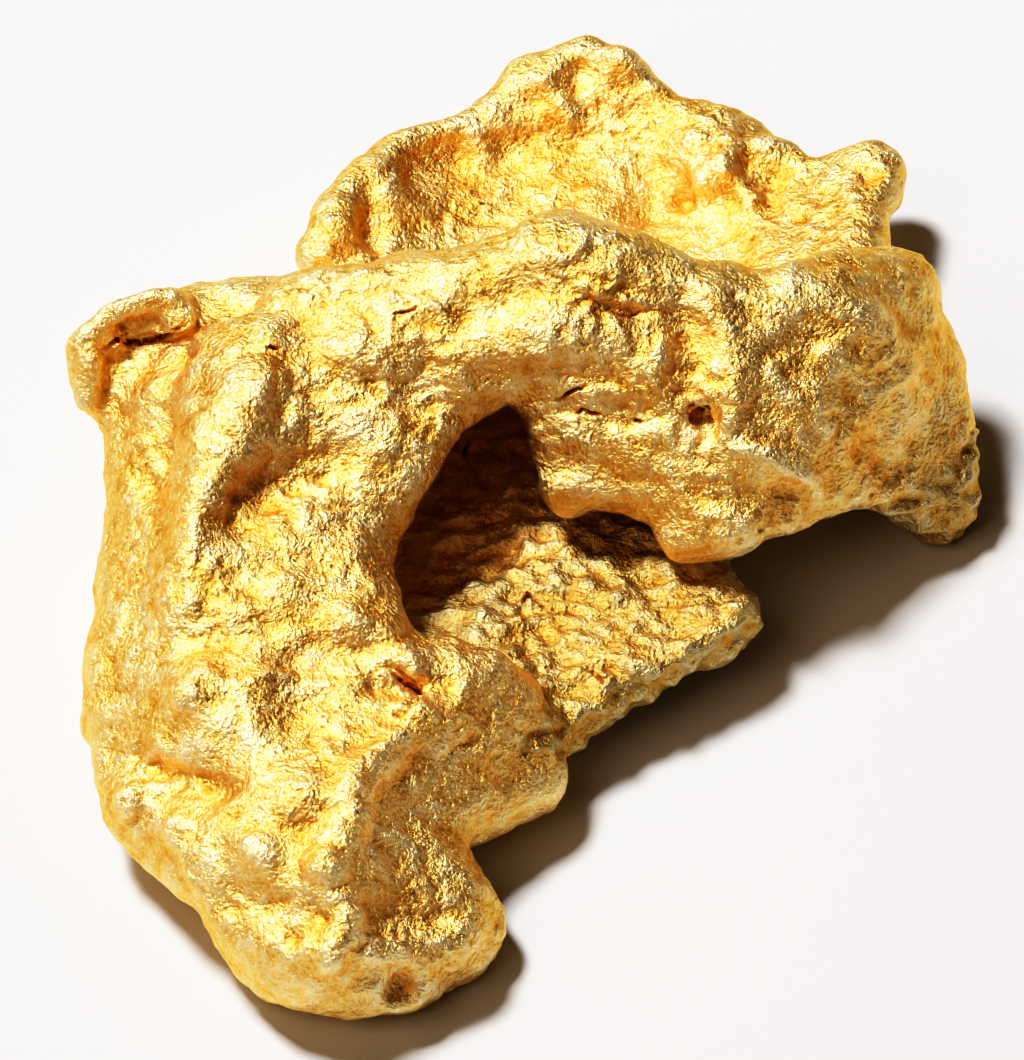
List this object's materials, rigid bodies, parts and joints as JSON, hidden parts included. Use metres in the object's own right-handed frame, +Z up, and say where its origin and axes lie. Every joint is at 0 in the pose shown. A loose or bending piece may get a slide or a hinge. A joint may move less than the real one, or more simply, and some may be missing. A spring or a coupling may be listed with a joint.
{
  "type": "gold nugget",
  "caption": "Natural river-worn gold nugget with an arched wall over an open hollow, a thin tongue, blunt lobes and a low dished plate at the back.",
  "frame": {"origin": "middle of the footprint's bounding box, on the surface that the nugget rests on", "axes": "+Z up as the nugget lies, +Y from the lower lobe to the dished plate along the longest extent, +X from the rolled lip to the blunt lobe"},
  "size_m": [0.023, 0.03, 0.0088],
  "materials": {
    "native_gold": null
  },
  "bodies": {
    "root": {"gold_nugget": "native_gold"}
  },
  "joints": []
}
